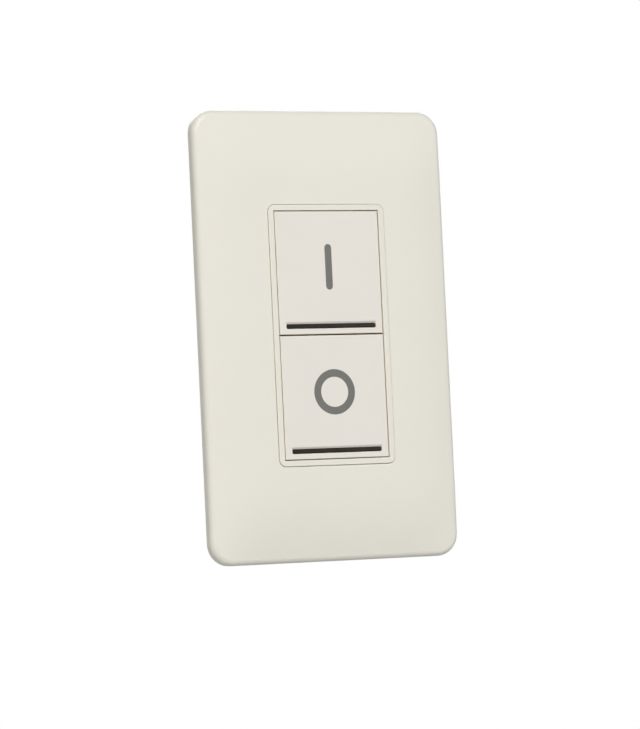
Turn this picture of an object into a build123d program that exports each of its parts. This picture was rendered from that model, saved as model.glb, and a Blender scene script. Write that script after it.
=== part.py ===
from build123d import *
import os

# Two-button lighting keypad with a screwless wall plate for a one-gang wall box.
# The front looks towards -Y, the wall plane is Y = 0 and everything at +Y sits in the box.

# Wall plate
plate_width = 69.85
plate_height = 114.3
plate_corner = 5.8
plate_rim_depth = 2.9
plate_crown_rise = 2.4
plate_roll = 18.0
plate_edge_round = 1.6
plate_side_wall = 1.6
plate_front_wall = 1.4
plate_opening_round = 0.15
plate_rib = 1.2
plate_rib_gap = 0.05

# Buttons
key_width = 29.1
key_height = 31.13
key_mid_gap = 0.34
key_side_gap = 0.2
key_end_gap = 0.2
key_set_back = 0.15
key_face_wall = 1.7
key_skirt = 1.2
key_edge_round = 0.22
key_back_gap = 0.2
key_rib = 1.0
key_rib_depth = 1.15
key_rib_inset = 5.2

# Button pivots and stops
pivot_radius = 0.9
pivot_clearance = 0.05
pivot_drop = 1.9
pivot_reach = 1.45
pivot_end_gap = 0.1
pivot_back_gap = 0.1
stop_lug_height = 3.0
stop_lug_size = 1.6
stop_lug_depth = 0.9
stop_lug_reach = 1.05
stop_lug_seat = 0.05
stop_lug_gap = 0.35
post_drop = 17.3
post_radius = 1.2
post_end_gap = 0.05

# Bezel
bezel_wall = 1.5
bezel_corner = 1.85
bezel_gap = 0.08
bezel_proud = 0.3
bezel_edge_round = 0.22
flange_thickness = 1.2
flange_corner = 2.5
flange_end = 1.2
boss_radius = 2.0
boss_side = 1.9
boss_pad_depth = 0.9
boss_end_inset = 2.6

# Symbols and light bars
symbol_depth = 0.25
symbol_gap = 0.01
on_mark_width = 1.93
on_mark_height = 11.6
on_mark_up = 1.43
off_ring_outer = 5.74
off_ring_inner = 3.8
off_ring_up = 1.23
bar_width = 25.3
bar_height = 1.2
bar_corner = 0.42
bar_up = 2.03
bar_recess = 0.2
bar_gap = 0.02
bar_crown = 0.3
bar_tab_reach = 0.55
bar_tab_depth = 0.85
bar_leg_width = 2.6
bar_leg_spacing = 16.0
bar_leg_back = 2.2
ramp_height = 0.5
ramp_depth = 0.35

# Steel strap
yoke_thickness = 1.3
yoke_side_margin = 1.5
yoke_end_margin = 3.5
yoke_corner = 2.0
yoke_window_side = 0.45
yoke_window_end = 0.55
yoke_neck_width = 22.0
yoke_ear_width = 41.0
yoke_ear_height = 8.0
yoke_ear_corner = 2.5
yoke_end_reach = 4.0
box_screw_hole_radius = 2.1
box_screw_step = 6.75
plate_screw_inset = 8.73
collar_wall = 0.85
collar_depth = 1.2

# Sub-plate
sub_thickness = 1.3
sub_edge_gap = 1.3
sub_corner = 7.0
sub_body_corner = 10.0
sub_rim_width = 2.8
sub_rim_front = 1.9
sub_rim_thickness = 1.1
sub_opening_gap = 0.5
sub_opening_corner = 3.0
sub_access_radius = 3.6
hook_bite = 0.5
hook_thickness = 0.6
hook_width = 8.0
hook_gap = 0.05
hook_side_height = 34.0

# Sub-plate screws
plate_screw_radius = 1.7
plate_screw_head = 2.8
plate_screw_length = 5.6
screw_fit = 0.03

# Rear housing
housing_depth = 18.0
housing_wall = 1.8
housing_corner = 3.0
housing_end_margin = 2.45
column_radius = 2.9
column_edge = 0.4
column_floor = 4.0
case_screw_radius = 1.0
case_screw_head = 1.9
case_screw_head_depth = 1.4
case_screw_reach = 2.8
screw_hole_gap = 0.2

# Circuit board
board_front = 4.0
board_thickness = 1.6
board_gap = 0.8
board_notch_gap = 0.4
board_post_radius = 2.4
board_post_side = 3.2
board_post_drop = 8.5
board_screw_radius = 1.0
board_screw_head = 1.9
board_screw_head_depth = 1.2
board_screw_length = 6.0

# Switches under the buttons
switch_size = 6.2
switch_top = 0.3
switch_cover_thickness = 0.3
switch_cover_skirt = 1.6
plunger_radius = 1.75
plunger_clearance = 0.05
plunger_proud = 0.6
plunger_flange = 2.1
plunger_travel_room = 1.2
leg_reach = 0.8
leg_width = 0.7
leg_spread = 4.4
leg_rise = 1.4
leg_foot = 0.2

# Parts on the board
controller_size = 9.0
controller_depth = 1.4
controller_x = -7.0
controller_z = 15.0
transceiver_width = 3.9
transceiver_height = 4.9
transceiver_depth = 1.5
transceiver_x = 8.5
transceiver_z = -18.0
lead_width = 0.4
lead_reach = 0.9
lead_rise = 0.55
chip_stand = 0.15
regulator_width = 6.5
regulator_height = 6.1
regulator_depth = 2.3
regulator_x = 9.0
regulator_z = 7.5
regulator_tab = 1.5
regulator_leg_width = 0.8
regulator_leg_reach = 1.4
regulator_leg_spread = 4.56
regulator_strip = 0.6
capacitor_radius = 4.0
capacitor_height = 8.0
capacitor_base = 8.4
capacitor_base_depth = 0.6
capacitor_groove = 0.3
capacitor_x = -8.5
capacitor_z = -19.0
crystal_length = 11.0
crystal_width = 4.6
crystal_depth = 3.5
crystal_x = -8.0
crystal_inset = 5.0
inductor_size = 7.0
inductor_depth = 3.6
inductor_bowl = 2.6
inductor_core = 1.5
inductor_x = 9.0
inductor_z = 19.5
led_width = 1.6
led_height = 0.8
led_depth = 0.8
header_width = 22.4
header_height = 9.4
header_wall = 0.9
header_floor = 1.5
header_depth = 11.0
header_level = -5.0
terminal_pitch = 5.08
terminal_count = 4
pin_radius = 0.5
pin_gap = 0.03
pin_front = 3.3
pin_back = 12.6
plug_gap = 0.1
plug_inset = 1.0
plug_head_depth = 9.0
plug_head_height = 10.4
wire_radius = 1.4
clamp_radius = 1.25
clamp_length = 3.4
window_gap = 0.8

# Levels that follow from the sizes above
yoke_front = -yoke_thickness
flange_front = yoke_front - flange_thickness
sub_front = yoke_front - sub_thickness
plate_face = -(plate_rim_depth + plate_crown_rise)
bezel_face = plate_face - bezel_proud
key_face = bezel_face + key_set_back
key_inner = key_face + key_face_wall
skirt_back = yoke_front - key_back_gap
pivot_level = yoke_front - pivot_back_gap - pivot_radius
plunger_top = switch_top - plunger_proud
board_back = board_front + board_thickness

# Outlines that follow from the buttons outwards
field_height = 2 * key_height + key_mid_gap
key_opening_width = key_width + 2 * key_side_gap
key_opening_height = field_height + 2 * key_end_gap
bezel_width = key_opening_width + 2 * bezel_wall
bezel_height = key_opening_height + 2 * bezel_wall
plate_opening_width = bezel_width + 2 * bezel_gap
plate_opening_height = bezel_height + 2 * bezel_gap
boss_x = bezel_width / 2 + boss_side
boss_z = key_opening_height / 2 - boss_end_inset
flange_width = 2 * (boss_x + boss_radius + 0.4)
flange_height = bezel_height + 2 * flange_end
plate_screw_spacing = plate_height - 2 * plate_screw_inset
box_screw_spacing = plate_screw_spacing - 2 * box_screw_step
housing_width = 2 * (boss_x + column_radius + column_edge)
housing_height = bezel_height + 2 * housing_end_margin
yoke_body_width = housing_width + 2 * yoke_side_margin
yoke_body_height = housing_height + 2 * yoke_end_margin
yoke_half_height = plate_screw_spacing / 2 + yoke_end_reach
inner_half_width = plate_width / 2 - plate_side_wall
inner_half_height = plate_height / 2 - plate_side_wall
sub_half_width = inner_half_width - sub_edge_gap
sub_half_height = inner_half_height - sub_edge_gap
board_width = housing_width - 2 * (housing_wall + board_gap)
board_height = housing_height - 2 * (housing_wall + board_gap)
board_post_x = board_width / 2 - board_post_side
board_post_z = boss_z - board_post_drop
plug_front = board_back + header_floor + plug_inset
plug_shoulder = board_back + header_depth + 0.2

# Upper edge of each button
key_tops = {"on": field_height / 2, "off": -key_mid_gap / 2}


def sheet(outline, back, front):
    # thickens an outline drawn as seen from the front, from one depth to another
    return extrude(Plane.XZ.offset(-back) * outline, amount=back - front)


def disc(x, z, radius, back, front):
    return sheet(Pos(x, z) * Circle(radius), back, front)


def panel(x, z, width, height, back, front):
    return sheet(Pos(x, z) * Rectangle(width, height), back, front)


def rod_x(x_start, x_end, y, z, radius):
    start = Plane(origin=(x_start, y, z), x_dir=(0, 1, 0), z_dir=(1, 0, 0))
    return extrude(start * Circle(radius), amount=x_end - x_start)


def four(x, z):
    return [(x, z), (-x, z), (x, -z), (-x, -z)]


def box_between(low, high):
    size = [b - a for a, b in zip(low, high)]
    return Pos(*low) * Box(*size, align=(Align.MIN, Align.MIN, Align.MIN))


def edges_at_depth(solid, depth):
    return [e for e in solid.edges() if all(abs(v.Y - depth) < 1e-4 for v in e.vertices())
            and abs(e.bounding_box().size.Y) < 1e-4]


# Wall plate

def crown_height(distance):
    # rises from the edge and levels out at the end of the roll
    part = min(max(distance / plate_roll, 0.0), 1.0)
    return 1 - (1 - part) ** 2


def crown_surface(shift, columns=27, rows=43, over=3.0):
    reach_x, reach_z = plate_width / 2 + over, plate_height / 2 + over
    grid = []
    for i in range(columns):
        x = reach_x * (2 * i / (columns - 1) - 1)
        column = []
        for j in range(rows):
            z = reach_z * (2 * j / (rows - 1) - 1)
            rise = crown_height(plate_width / 2 - abs(x)) * crown_height(plate_height / 2 - abs(z))
            column.append(Vector(x, shift - plate_rim_depth - plate_crown_rise * rise, z))
        grid.append(column)
    return Face.make_surface_from_array_of_points(grid, tol=1e-3, min_deg=3, max_deg=3)


def crowned_block(width, height, corner, shift):
    block = sheet(RectangleRounded(width, height, corner), 0, plate_face - 2)
    pieces = block.split(crown_surface(shift), keep=Keep.BOTH)
    return max(pieces, key=lambda piece: piece.bounding_box().max.Y)


def hook_places():
    sides = [(s * inner_half_width, z, s, 0) for s in (-1, 1)
             for z in (-hook_side_height, hook_side_height)]
    ends = [(0, s * inner_half_height, 0, s) for s in (-1, 1)]
    return sides + ends


def hook(x, z, side, end):
    # a nose that clips behind the rim of the sub-plate
    reach = sub_edge_gap + hook_bite
    rim_back = -(sub_rim_front - sub_rim_thickness)
    back, front = rim_back + hook_gap + hook_thickness, rim_back + hook_gap
    width = reach + 1 if side else hook_width
    height = reach + 1 if end else hook_width
    centre_x = x - side * (reach - 1) / 2
    centre_z = z - end * (reach - 1) / 2
    return panel(centre_x, centre_z, width, height, back, front)


def make_wall_plate():
    shell = crowned_block(plate_width, plate_height, plate_corner, 0)
    rim = [e for e in shell.edges() if e.bounding_box().max.Y < -plate_rim_depth / 2
           and (abs(e.center().X) > plate_width / 2 - plate_corner
                or abs(e.center().Z) > plate_height / 2 - plate_corner)]
    shell = fillet(rim, plate_edge_round)
    cavity = crowned_block(plate_width - 2 * plate_side_wall, plate_height - 2 * plate_side_wall,
                           plate_corner - plate_side_wall, plate_front_wall)
    rib_back = sub_front - plate_rib_gap
    side_x = (plate_opening_width / 2 + sub_half_width) / 2
    for s in (-1, 1):
        cavity -= panel(s * side_x, 0, plate_rib, plate_opening_height * 0.9, rib_back, plate_face)
        for x in (-8, 8):
            end_z = s * (plate_screw_spacing + box_screw_spacing) / 4
            cavity -= panel(x, end_z - s * 2, plate_rib, 10, rib_back, plate_face)
    for place in hook_places():
        cavity -= hook(*place)
    shell -= cavity
    opening = RectangleRounded(plate_opening_width, plate_opening_height, bezel_corner + bezel_gap)
    shell -= sheet(opening, 0, plate_face - 1)
    mouth = [e for e in shell.edges() if e.bounding_box().max.Y < plate_face + 0.2
             and abs(e.center().X) < plate_opening_width / 2 + 0.1
             and abs(e.center().Z) < plate_opening_height / 2 + 0.1]
    return fillet(mouth, plate_opening_round)


# Sub-plate behind the wall plate

def make_sub_plate():
    body_half_width = sub_half_width - sub_rim_width
    body_half_height = sub_half_height - sub_rim_width
    rim_back = -(sub_rim_front - sub_rim_thickness)
    plate = sheet(RectangleRounded(2 * sub_half_width, 2 * sub_half_height, sub_corner),
                  rim_back, -sub_rim_front)
    well = RectangleRounded(2 * body_half_width - 2, 2 * body_half_height - 2, sub_body_corner - 1)
    plate -= sheet(well, 0, yoke_front)
    plate += sheet(RectangleRounded(2 * body_half_width, 2 * body_half_height, sub_body_corner),
                   yoke_front, sub_front)
    for s in (-1, 1):
        # room behind for the ends of the strap
        plate -= panel(0, s * yoke_half_height / 2, yoke_ear_width + 1, yoke_half_height + 0.6, 0, yoke_front)
    opening = RectangleRounded(flange_width + 2 * sub_opening_gap, flange_height + 2 * sub_opening_gap,
                               sub_opening_corner)
    plate -= sheet(opening, 0, sub_front - 1)
    for s in (-1, 1):
        plate -= disc(0, s * box_screw_spacing / 2, sub_access_radius, 0, sub_front - 1)
        seat = Plane(origin=(0, sub_front, s * plate_screw_spacing / 2), z_dir=(0, -1, 0))
        plate -= seat * CounterSinkHole(plate_screw_radius + screw_hole_gap,
                                        plate_screw_head + screw_fit, depth=20)
    for x, z in four(sub_half_width - sub_rim_width - 3, plate_screw_spacing / 2):
        plate -= sheet(Pos(x, z) * SlotOverall(6, 2.4), 0, sub_front - 1)
    return plate


def make_sub_plate_screws():
    screws = []
    for s in (-1, 1):
        z = s * plate_screw_spacing / 2
        profile = [(0, sub_front), (plate_screw_head, sub_front),
                   (plate_screw_radius, sub_front + (plate_screw_head - plate_screw_radius) * 1.15),
                   (plate_screw_radius, sub_front + plate_screw_length - 0.5),
                   (plate_screw_radius - 0.5, sub_front + plate_screw_length),
                   (0, sub_front + plate_screw_length)]
        screw = Pos(0, 0, z) * revolve(make_face(Polyline(*profile, close=True)), Axis.Y)
        screw -= panel(0, z, 2 * plate_screw_head, 0.8, sub_front + 0.6, sub_front - 1)
        screws.append(screw.solid())
    return Compound(children=screws)


# Steel strap

def make_yoke():
    outline = RectangleRounded(yoke_body_width, yoke_body_height, yoke_corner)
    outline += Rectangle(yoke_neck_width, 2 * yoke_half_height - 2)
    for s in (-1, 1):
        ear = RectangleRounded(yoke_ear_width, yoke_ear_height, yoke_ear_corner)
        outline += Pos(0, s * (yoke_half_height - yoke_ear_height / 2)) * ear
    outline -= Rectangle(key_width + 2 * yoke_window_side, field_height + 2 * yoke_window_end)
    for x, z in four(boss_x, boss_z):
        outline -= Pos(x, z) * Circle(boss_radius + 0.1)
    yoke = sheet(outline, 0, yoke_front)
    for s in (-1, 1):
        z = s * plate_screw_spacing / 2
        yoke += disc(0, z, plate_screw_radius + screw_fit + collar_wall, collar_depth, yoke_front)
        yoke -= disc(0, z, plate_screw_radius + screw_fit, collar_depth + 1, yoke_front - 1)
        yoke -= disc(0, s * box_screw_spacing / 2, box_screw_hole_radius, 1, yoke_front - 1)
        for side in (-1, 1):
            ear_x = side * (yoke_ear_width / 2 - 4.5)
            ear_z = s * (yoke_half_height - yoke_ear_height / 2)
            yoke -= disc(ear_x, ear_z, 1.6, 1, yoke_front - 1)
    return yoke


# Bezel around the buttons

def bearing_slots(key_top):
    # open to the back, closed by the strap once the bezel is seated
    z = key_top - pivot_drop
    radius = pivot_radius + pivot_clearance
    depth = key_width / 2 + pivot_reach + pivot_end_gap
    start = key_opening_width / 2 - 0.5
    slots = []
    for s in (-1, 1):
        x_low, x_high = sorted((s * start, s * depth))
        slots.append(rod_x(x_low, x_high, pivot_level, z, radius))
        slots.append(box_between((x_low, pivot_level, z - radius), (x_high, yoke_front + 1, z + radius)))
    return slots


def lug_pockets(key_top):
    z = key_top - key_height + stop_lug_height
    half = stop_lug_size / 2 + stop_lug_gap
    front = lug_front() - stop_lug_seat
    start = key_opening_width / 2 - 0.5
    depth = key_width / 2 + stop_lug_reach + 0.15
    pockets = []
    for s in (-1, 1):
        x_low, x_high = sorted((s * start, s * depth))
        pockets.append(box_between((x_low, front, z - half), (x_high, yoke_front + 1, z + half)))
    return pockets


def lug_front():
    return pivot_level - 0.85


def make_bezel():
    tube = RectangleRounded(bezel_width, bezel_height, bezel_corner)
    tube -= Rectangle(key_opening_width, key_opening_height)
    bezel = sheet(tube, yoke_front, bezel_face)
    bezel = fillet(edges_at_depth(bezel, bezel_face), bezel_edge_round)
    flange = RectangleRounded(flange_width, flange_height, flange_corner)
    flange -= Rectangle(key_opening_width, key_opening_height)
    bezel += sheet(flange, yoke_front, flange_front)
    for x, z in four(boss_x, boss_z):
        bezel += disc(x, z, boss_radius, -screw_fit, flange_front - boss_pad_depth)
    bezel -= panel(0, 0, key_opening_width, key_opening_height, 1, bezel_face - 1)
    for x, z in four(boss_x, boss_z):
        bezel -= disc(x, z, case_screw_radius + screw_fit, 1, -case_screw_reach - 0.2)
    for key_top in key_tops.values():
        for cut in bearing_slots(key_top) + lug_pockets(key_top):
            bezel -= cut
    return bezel


# Buttons

def on_mark():
    return Pos(0, key_middle("on") + on_mark_up) * Rot(0, 0, 90) * SlotOverall(on_mark_height, on_mark_width)


def off_mark():
    ring = Circle(off_ring_outer) - Circle(off_ring_inner)
    return Pos(0, key_middle("off") + off_ring_up) * ring


def key_middle(name):
    return key_tops[name] - key_height / 2


def bar_level(name):
    return key_tops[name] - key_height + bar_up


def make_button(name, mark):
    top = key_tops[name]
    middle = key_middle(name)
    body = panel(0, middle, key_width, key_height, skirt_back, key_face)
    body = fillet(edges_at_depth(body, key_face), key_edge_round)
    hollow_width, hollow_height = key_width - 2 * key_skirt, key_height - 2 * key_skirt
    body -= panel(0, middle, hollow_width, hollow_height, 0, key_inner)
    body += key_ribs(name)
    body += key_pivots(top)
    body += stop_lugs(top)
    body += actuator(top)
    body -= sheet(mark, key_face + symbol_depth, key_face - 1)
    return body - bar_seat(name)


def key_ribs(name):
    # two upright ribs and one level rib stiffen the face
    low = bar_level(name) + bar_height / 2 + 0.8
    high = key_tops[name] - key_skirt / 2
    ribs = []
    for s in (-1, 1):
        ribs.append(panel(s * key_rib_inset, (low + high) / 2, key_rib, high - low,
                          key_inner + key_rib_depth, key_inner - 0.2))
    ribs.append(panel(0, low + key_rib / 2, key_width - key_skirt, key_rib,
                      key_inner + key_rib_depth, key_inner - 0.2))
    return ribs


def key_pivots(top):
    outer, inner = key_width / 2 + pivot_reach, key_width / 2 - key_skirt
    z = top - pivot_drop
    return [rod_x(inner, outer, pivot_level, z, pivot_radius),
            rod_x(-outer, -inner, pivot_level, z, pivot_radius)]


def stop_lugs(top):
    z = top - key_height + stop_lug_height
    half = stop_lug_size / 2
    outer, inner = key_width / 2 + stop_lug_reach, key_width / 2 - key_skirt / 2
    front, back = lug_front(), lug_front() + stop_lug_depth
    return [box_between((min(s * inner, s * outer), front, z - half),
                        (max(s * inner, s * outer), back, z + half)) for s in (-1, 1)]


def actuator(top):
    z = top - pivot_drop - post_drop
    tip = plunger_top - post_end_gap
    post = disc(0, z, post_radius, tip, key_inner - 0.2)
    fin_back = key_inner + key_rib_depth + 0.8
    return [post, panel(0, z, 4 * post_radius, 0.8, fin_back, key_inner - 0.2),
            panel(0, z, 0.8, 4 * post_radius, fin_back, key_inner - 0.2)]


def bar_seat(name):
    # slot for the lens with a sloped groove above it
    z = bar_level(name)
    width, height = bar_width + 2 * bar_gap, bar_height + 2 * bar_gap
    edge = z + height / 2
    slope = Plane.YZ.offset(-width / 2) * make_face(Polyline(
        (key_face - 0.01, edge - 0.1), (key_face + ramp_depth, edge - 0.1), (key_face + ramp_depth, edge),
        (key_face - 0.01, edge + ramp_height), close=True))
    slot = Pos(0, z) * RectangleRounded(width, height, bar_corner + bar_gap)
    return [sheet(slot, key_inner + 0.1, key_face - 1), extrude(slope, amount=width)]


def make_symbol(mark):
    return sheet(offset(mark, -symbol_gap), key_face + symbol_depth, key_face)


def make_light_bar(name):
    z = bar_level(name)
    front = key_face + bar_recess
    lens = sheet(Pos(0, z) * RectangleRounded(bar_width, bar_height, bar_corner), key_inner, front)
    lens = fillet(edges_at_depth(lens, front), bar_crown)
    lens += panel(0, z, bar_width + 2 * bar_tab_reach, bar_height, key_inner + bar_tab_depth, key_inner)
    for s in (-1, 1):
        lens += panel(s * bar_leg_spacing / 2, z, bar_leg_width, bar_height, bar_leg_back, key_inner)
    return lens


# Switches and lights on the circuit board

def switch_spot(name):
    return key_tops[name] - pivot_drop - post_drop


def make_switch_base(name):
    z = switch_spot(name)
    top = switch_top + switch_cover_thickness
    base = panel(0, z, switch_size, switch_size, board_front, top)
    base -= disc(0, z, plunger_flange + 0.1, top + 2 + plunger_travel_room * 0.1, top - 1)
    inset = switch_cover_thickness
    for s in (-1, 1):
        base -= panel(s * (switch_size - inset) / 2, z, inset, switch_size + 1,
                      top + switch_cover_skirt, top - 1)
    return base


def make_switch_cover(name):
    z = switch_spot(name)
    inset = switch_cover_thickness
    cover = panel(0, z, switch_size, switch_size, switch_top + inset, switch_top)
    for s in (-1, 1):
        cover += panel(s * (switch_size - inset) / 2, z, inset, switch_size,
                       switch_top + inset + switch_cover_skirt, switch_top)
    return cover - disc(0, z, plunger_radius + plunger_clearance, 2, switch_top - 1)


def make_switch_plunger(name):
    z = switch_spot(name)
    shoulder = switch_top + switch_cover_thickness + plunger_clearance
    stem = disc(0, z, plunger_radius, shoulder + 0.5, plunger_top)
    stem = fillet(edges_at_depth(stem, plunger_top), 0.2)
    return stem + disc(0, z, plunger_flange, shoulder + 0.5, shoulder)


def make_switch_terminals():
    legs = []
    for name in key_tops:
        for side, end in ((1, 1), (-1, 1), (1, -1), (-1, -1)):
            wall, tip = side * switch_size / 2, side * (switch_size / 2 + leg_reach)
            level = switch_spot(name) + end * leg_spread / 2
            leg = leg_block(wall, tip, level, leg_foot)
            leg += leg_block(wall, wall + side * leg_foot, level, leg_rise)
            legs.append(leg.solid())
    return Compound(children=legs)


def leg_block(start, end, level, rise):
    low, high = sorted((start, end))
    return box_between((low, board_front - rise, level - leg_width / 2),
                       (high, board_front, level + leg_width / 2))


def make_status_leds():
    leds = []
    for name in key_tops:
        for s in (-1, 1):
            x, z = s * bar_leg_spacing / 2, bar_level(name)
            led = panel(x, z, led_width, led_height, board_front, board_front - led_depth / 2)
            led += panel(x, z, led_width * 0.7, led_height, board_front, board_front - led_depth)
            leds.append(led.solid())
    return Compound(children=leds)


# Circuit board and the parts on its back

def make_circuit_board():
    outline = RectangleRounded(board_width, board_height, 1.0)
    for x, z in four(boss_x, boss_z):
        outline -= Pos(x, z) * Circle(column_radius + board_notch_gap)
    for x, z in four(board_post_x, board_post_z):
        outline -= Pos(x, z) * Circle(board_screw_radius + screw_hole_gap / 2)
    for x in terminal_places():
        outline -= Pos(x, header_level) * Circle(pin_radius + pin_gap)
    return sheet(outline, board_back, board_front)


def make_board_screws():
    screws = []
    for x, z in four(board_post_x, board_post_z):
        head = disc(x, z, board_screw_head, board_front, board_front - board_screw_head_depth)
        head = fillet(edges_at_depth(head, board_front - board_screw_head_depth), 0.4)
        screw = head + disc(x, z, board_screw_radius, board_front + board_screw_length, board_front)
        slot_back = board_front - board_screw_head_depth + 0.6
        for width, height in ((2.2, 0.5), (0.5, 2.2)):
            screw -= panel(x, z, width, height, slot_back, 0)
        screws.append(screw.solid())
    return Compound(children=screws)


def chip(x, z, width, height, depth, legs, sides=("x",)):
    # a moulded package with bent leads that stand on the board
    body = panel(x, z, width, height, board_back + chip_stand + depth, board_back + chip_stand)
    pitch = (height - 3 * lead_width) / max(legs - 1, 1)
    for i in range(legs):
        along = (i - (legs - 1) / 2) * pitch
        for s in (-1, 1):
            if "x" in sides:
                body += lead(x + s * (width + lead_reach) / 2, z + along, lead_reach + 0.02, lead_width)
            if "z" in sides:
                body += lead(x + along, z + s * (height + lead_reach) / 2, lead_width, lead_reach + 0.02)
    return body


def lead(x, z, width, height):
    return panel(x, z, width, height, board_back + lead_rise, board_back)


def make_microcontroller():
    body = chip(controller_x, controller_z, controller_size, controller_size, controller_depth, 8, ("x", "z"))
    top = board_back + chip_stand + controller_depth
    corner = controller_size / 2 - 1.5
    return body - disc(controller_x - corner, controller_z + corner, 0.5, top + 1, top - 0.15)


def make_bus_transceiver():
    return chip(transceiver_x, transceiver_z, transceiver_width, transceiver_height, transceiver_depth, 4)


def make_voltage_regulator():
    x, z = regulator_x, regulator_z
    strip = board_back + regulator_strip
    body = panel(x, z, regulator_width, regulator_height, board_back + regulator_depth, board_back)
    body += panel(x, z + (regulator_height + regulator_tab) / 2 - 0.1, 0.8 * regulator_width,
                  regulator_tab, strip, board_back)
    for s in (-1, 1):
        body += panel(x + s * regulator_leg_spread / 2, z - (regulator_height + regulator_leg_reach) / 2 + 0.1,
                      regulator_leg_width, regulator_leg_reach, strip, board_back)
    return body


def make_filter_capacitor():
    x, z, foot = capacitor_x, capacitor_z, board_back + capacitor_base_depth
    can = disc(x, z, capacitor_radius, foot + capacitor_height, foot)
    can = fillet([e for e in can.edges() if e.center().Y > foot + capacitor_height - 0.01], 0.5)
    low, high = foot + 0.15 * capacitor_height, foot + 0.22 * capacitor_height
    can -= disc(x, z, capacitor_radius + 1, high, low) - disc(x, z, capacitor_radius - capacitor_groove, high, low)
    base = Pos(x, z) * Rectangle(capacitor_base, capacitor_base)
    return can + sheet(chamfer(base.vertices().group_by(Axis.Y)[-1], 1.2), foot, board_back)


def make_clock_crystal():
    spot = Pos(crystal_x, board_height / 2 - crystal_inset)
    body = sheet(spot * SlotOverall(crystal_length, crystal_width), board_back + crystal_depth, board_back)
    return fillet([e for e in body.edges() if e.center().Y > board_back + crystal_depth - 0.01], 0.4)


def make_power_inductor():
    x, z, top = inductor_x, inductor_z, board_back + inductor_depth
    core = panel(x, z, inductor_size, inductor_size, top, board_back)
    core = chamfer(core.edges().filter_by(Axis.Y), 0.17 * inductor_size)
    bowl = disc(x, z, inductor_bowl, top + 1, top - 0.8)
    return core - (bowl - disc(x, z, inductor_core, top + 1, top - 0.8))


# Plug-in terminals

def terminal_places():
    return [(i - (terminal_count - 1) / 2) * terminal_pitch for i in range(terminal_count)]


def make_terminal_header():
    back = board_back + header_depth
    header = panel(0, header_level, header_width, header_height, back, board_back)
    header -= panel(0, header_level, header_width - 2 * header_wall, header_height - 2 * header_wall,
                    back + 1, board_back + header_floor)
    for x in terminal_places():
        header -= disc(x, header_level, pin_radius + pin_gap, back, board_back - 1)
    return header


def make_terminal_pins():
    pins = []
    for x in terminal_places():
        pin = disc(x, header_level, pin_radius, pin_back, pin_front)
        pins.append(chamfer(pin.edges().filter_by(GeomType.CIRCLE), 0.2).solid())
    return Compound(children=pins)


def make_terminal_plug():
    inner_width = header_width - 2 * header_wall - 2 * plug_gap
    inner_height = header_height - 2 * header_wall - 2 * plug_gap
    head_back = plug_shoulder + plug_head_depth
    plug = panel(0, header_level, inner_width, inner_height, plug_shoulder, plug_front)
    head = panel(0, header_level, header_width, plug_head_height, head_back, plug_shoulder)
    head = chamfer(head.edges().filter_by(Axis.X).group_by(Axis.Y)[-1], 1.0)
    plug += head
    clamp_level = header_level - plug_head_height / 2
    for x in terminal_places():
        plug -= disc(x, header_level, pin_radius + 0.1, pin_back + 0.4, plug_front - 1)
        plug -= disc(x, header_level, wire_radius, head_back + 1, plug_shoulder + 1.5)
        bore = Plane(origin=(x, clamp_middle(), clamp_level - 1), z_dir=(0, 0, 1))
        plug -= extrude(bore * Circle(clamp_radius + screw_fit), amount=1 + plug_head_height / 2)
    return plug


def clamp_middle():
    return plug_shoulder + 0.45 * plug_head_depth


def make_terminal_screws():
    screws = []
    level = header_level - plug_head_height / 2 + 0.4
    for x in terminal_places():
        start = Plane(origin=(x, clamp_middle(), level), z_dir=(0, 0, 1))
        screw = extrude(start * Circle(clamp_radius), amount=clamp_length)
        low = (x - 2, clamp_middle() - 0.3, level - 1)
        screws.append((screw - box_between(low, (x + 2, clamp_middle() + 0.3, level + 0.7))).solid())
    return Compound(children=screws)


# Rear housing

def make_rear_housing():
    outer = sheet(RectangleRounded(housing_width, housing_height, housing_corner), housing_depth, 0)
    outer = fillet([e for e in outer.edges() if e.center().Y > housing_depth - 0.01], 0.8)
    inner = RectangleRounded(housing_width - 2 * housing_wall, housing_height - 2 * housing_wall,
                             housing_corner - housing_wall)
    hollow = sheet(inner, housing_depth - housing_wall, -1)
    for x, z in four(boss_x, boss_z):
        hollow -= disc(x, z, column_radius, housing_depth, 0)
        corner_width = housing_width / 2 - boss_x
        side = 1 if x > 0 else -1
        hollow -= panel(x + side * corner_width / 2, z, corner_width, 2 * column_radius, housing_depth, 0)
    for x, z in four(board_post_x, board_post_z):
        hollow -= disc(x, z, board_post_radius, housing_depth, board_back)
    case = outer - hollow
    for x, z in four(boss_x, boss_z):
        case -= disc(x, z, case_screw_radius + screw_hole_gap, housing_depth, -1)
        case -= disc(x, z, case_screw_head + screw_hole_gap, housing_depth + 1, column_floor)
    for x, z in four(board_post_x, board_post_z):
        case -= disc(x, z, board_screw_radius + screw_fit, board_front + board_screw_length + 0.5, 0)
    case -= panel(0, header_level, header_width + 2 * window_gap, plug_head_height + 2 * window_gap,
                  housing_depth + 1, housing_depth - housing_wall - 1)
    return case


def make_housing_screws():
    screws = []
    for x, z in four(boss_x, boss_z):
        head_back = column_floor + case_screw_head_depth
        head = disc(x, z, case_screw_head, head_back, column_floor)
        head = fillet([e for e in head.edges() if e.center().Y > head_back - 0.01], 0.5)
        screw = head + disc(x, z, case_screw_radius, column_floor, -case_screw_reach)
        for width, height in ((2.2, 0.5), (0.5, 2.2)):
            screw -= panel(x, z, width, height, head_back + 1, head_back - 0.7)
        screws.append(screw.solid())
    return Compound(children=screws)


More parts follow.
